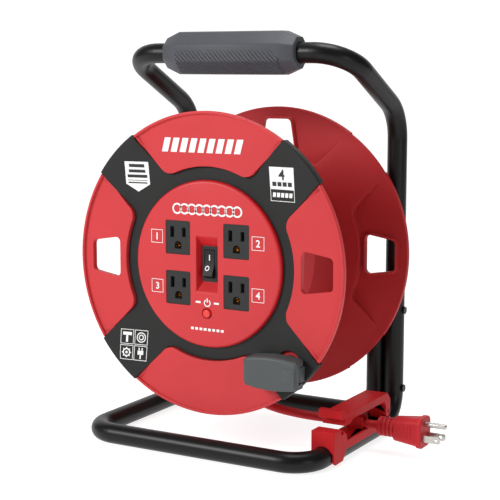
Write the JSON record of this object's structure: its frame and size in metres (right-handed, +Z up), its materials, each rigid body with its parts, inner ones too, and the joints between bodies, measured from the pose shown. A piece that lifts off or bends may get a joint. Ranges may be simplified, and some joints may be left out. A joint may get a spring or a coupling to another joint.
{
  "type": "extension cord reel",
  "caption": "Cord reel with two open-windowed flanges, a socket panel with switch and breaker, folding crank, bent tube stand with carrying grip, and plug lead in a hinged clip.",
  "frame": {"origin": "on the floor, midway between the front and rear ground bars, under the reel's axis", "axes": "+Z up; the reel turns about a line along Y and its socket panel faces -Y; +X to the right seen from the panel's side"},
  "size_m": [0.3466, 0.2053, 0.3863],
  "materials": {
    "frame_black": "gloss black powder coat on steel tube",
    "cap_black": "moulded tube cap",
    "grip_grey": "fine moulded grain",
    "crank_grey": "fine moulded grain",
    "reel_red": "satin moulded plastic",
    "panel_red": "satin moulded plastic",
    "cross_black": "satin charcoal plastic",
    "socket_black": "satin moulded plastic",
    "switch_black": "polished moulded plastic",
    "button_red": "polished moulded plastic",
    "clip_red": "satin moulded plastic",
    "lead_red": "soft matte jacket",
    "plug_nickel": "nickel plated",
    "contact_brass": "rolled brass",
    "spring_steel": "blued spring steel",
    "shaft_steel": "turned steel",
    "zinc_screws": "zinc plated",
    "bush_nylon": "natural nylon"
  },
  "bodies": {
    "frame": {"main_frame_tube": "frame_black", "rear_support_tube": "frame_black", "support_tube_caps": "cap_black", "axle_bracket": "frame_black", "bracket_bolts": "zinc_screws", "axle": "shaft_steel", "axle_rear_nut": "shaft_steel", "axle_retaining_clip": "spring_steel", "leg_tie_screws": "zinc_screws", "grip_front_shell": "grip_grey", "grip_rear_shell": "grip_grey", "grip_screws": "zinc_screws", "tube_joint_sleeve": "shaft_steel", "clip_base": "clip_red", "clip_pivot_pin": "shaft_steel", "clip_screw": "zinc_screws", "lead_cord": "lead_red", "plug_strain_relief": "lead_red", "plug_body": "lead_red", "plug_blades": "plug_nickel", "plug_ground_pin": "plug_nickel"},
    "reel": {"front_flange": "reel_red", "rear_flange": "reel_red", "drum_screws": "zinc_screws", "hub_bush_front": "bush_nylon", "hub_bush_rear": "bush_nylon", "spider_cover": "cross_black", "hub_plate": "panel_red", "hub_plate_screws": "zinc_screws", "socket_1": "socket_black", "socket_2": "socket_black", "socket_3": "socket_black", "socket_4": "socket_black", "socket_contacts_1": "contact_brass", "socket_contacts_2": "contact_brass", "socket_contacts_3": "contact_brass", "socket_contacts_4": "contact_brass", "hot_bus_bar": "contact_brass", "neutral_bus_bar": "contact_brass", "ground_bus_bar": "contact_brass", "switch_housing": "switch_black", "breaker_body": "switch_black", "reset_spring": "spring_steel", "lead_strain_relief": "lead_red"},
    "rocker": {"switch_rocker": "switch_black"},
    "button": {"reset_button": "button_red"},
    "crank_turntable": {"crank_base": "crank_grey", "crank_retaining_screw": "zinc_screws"},
    "crank": {"crank_handle": "crank_grey", "crank_hinge_pin": "shaft_steel"},
    "clip_lever": {"clip_arm": "clip_red"}
  },
  "joints": [
    {"name": "reel_spin", "type": "hinge", "parent": "frame", "child": "reel", "pos_m": [0, 0, 0.1748], "axis": [0, 1, 0], "continuous": true},
    {"name": "rocker_tilt", "type": "hinge", "parent": "reel", "child": "rocker", "pos_m": [0, -0.0603, 0.1748], "axis": [1, 0, 0], "range_deg": [0, 24]},
    {"name": "reset_press", "type": "slide", "parent": "reel", "child": "button", "axis": [0, 1, 0], "range_m": [0, 0.0015], "stiffness_N_per_m": 300, "deforming": ["reset_spring"]},
    {"name": "crank_swivel", "type": "hinge", "parent": "reel", "child": "crank_turntable", "pos_m": [0.085, -0.0699, 0.0903], "axis": [0, 1, 0], "continuous": true},
    {"name": "crank_fold", "type": "hinge", "parent": "crank_turntable", "child": "crank", "pos_m": [0.0976, -0.0767, 0.0856], "axis": [0, 0, 1], "range_deg": [0, 90]},
    {"name": "clip_hinge", "type": "hinge", "parent": "frame", "child": "clip_lever", "pos_m": [0.1174, 0.0541, 0.0262], "axis": [-1, 0, 0], "range_deg": [0, 75]}
  ]
}
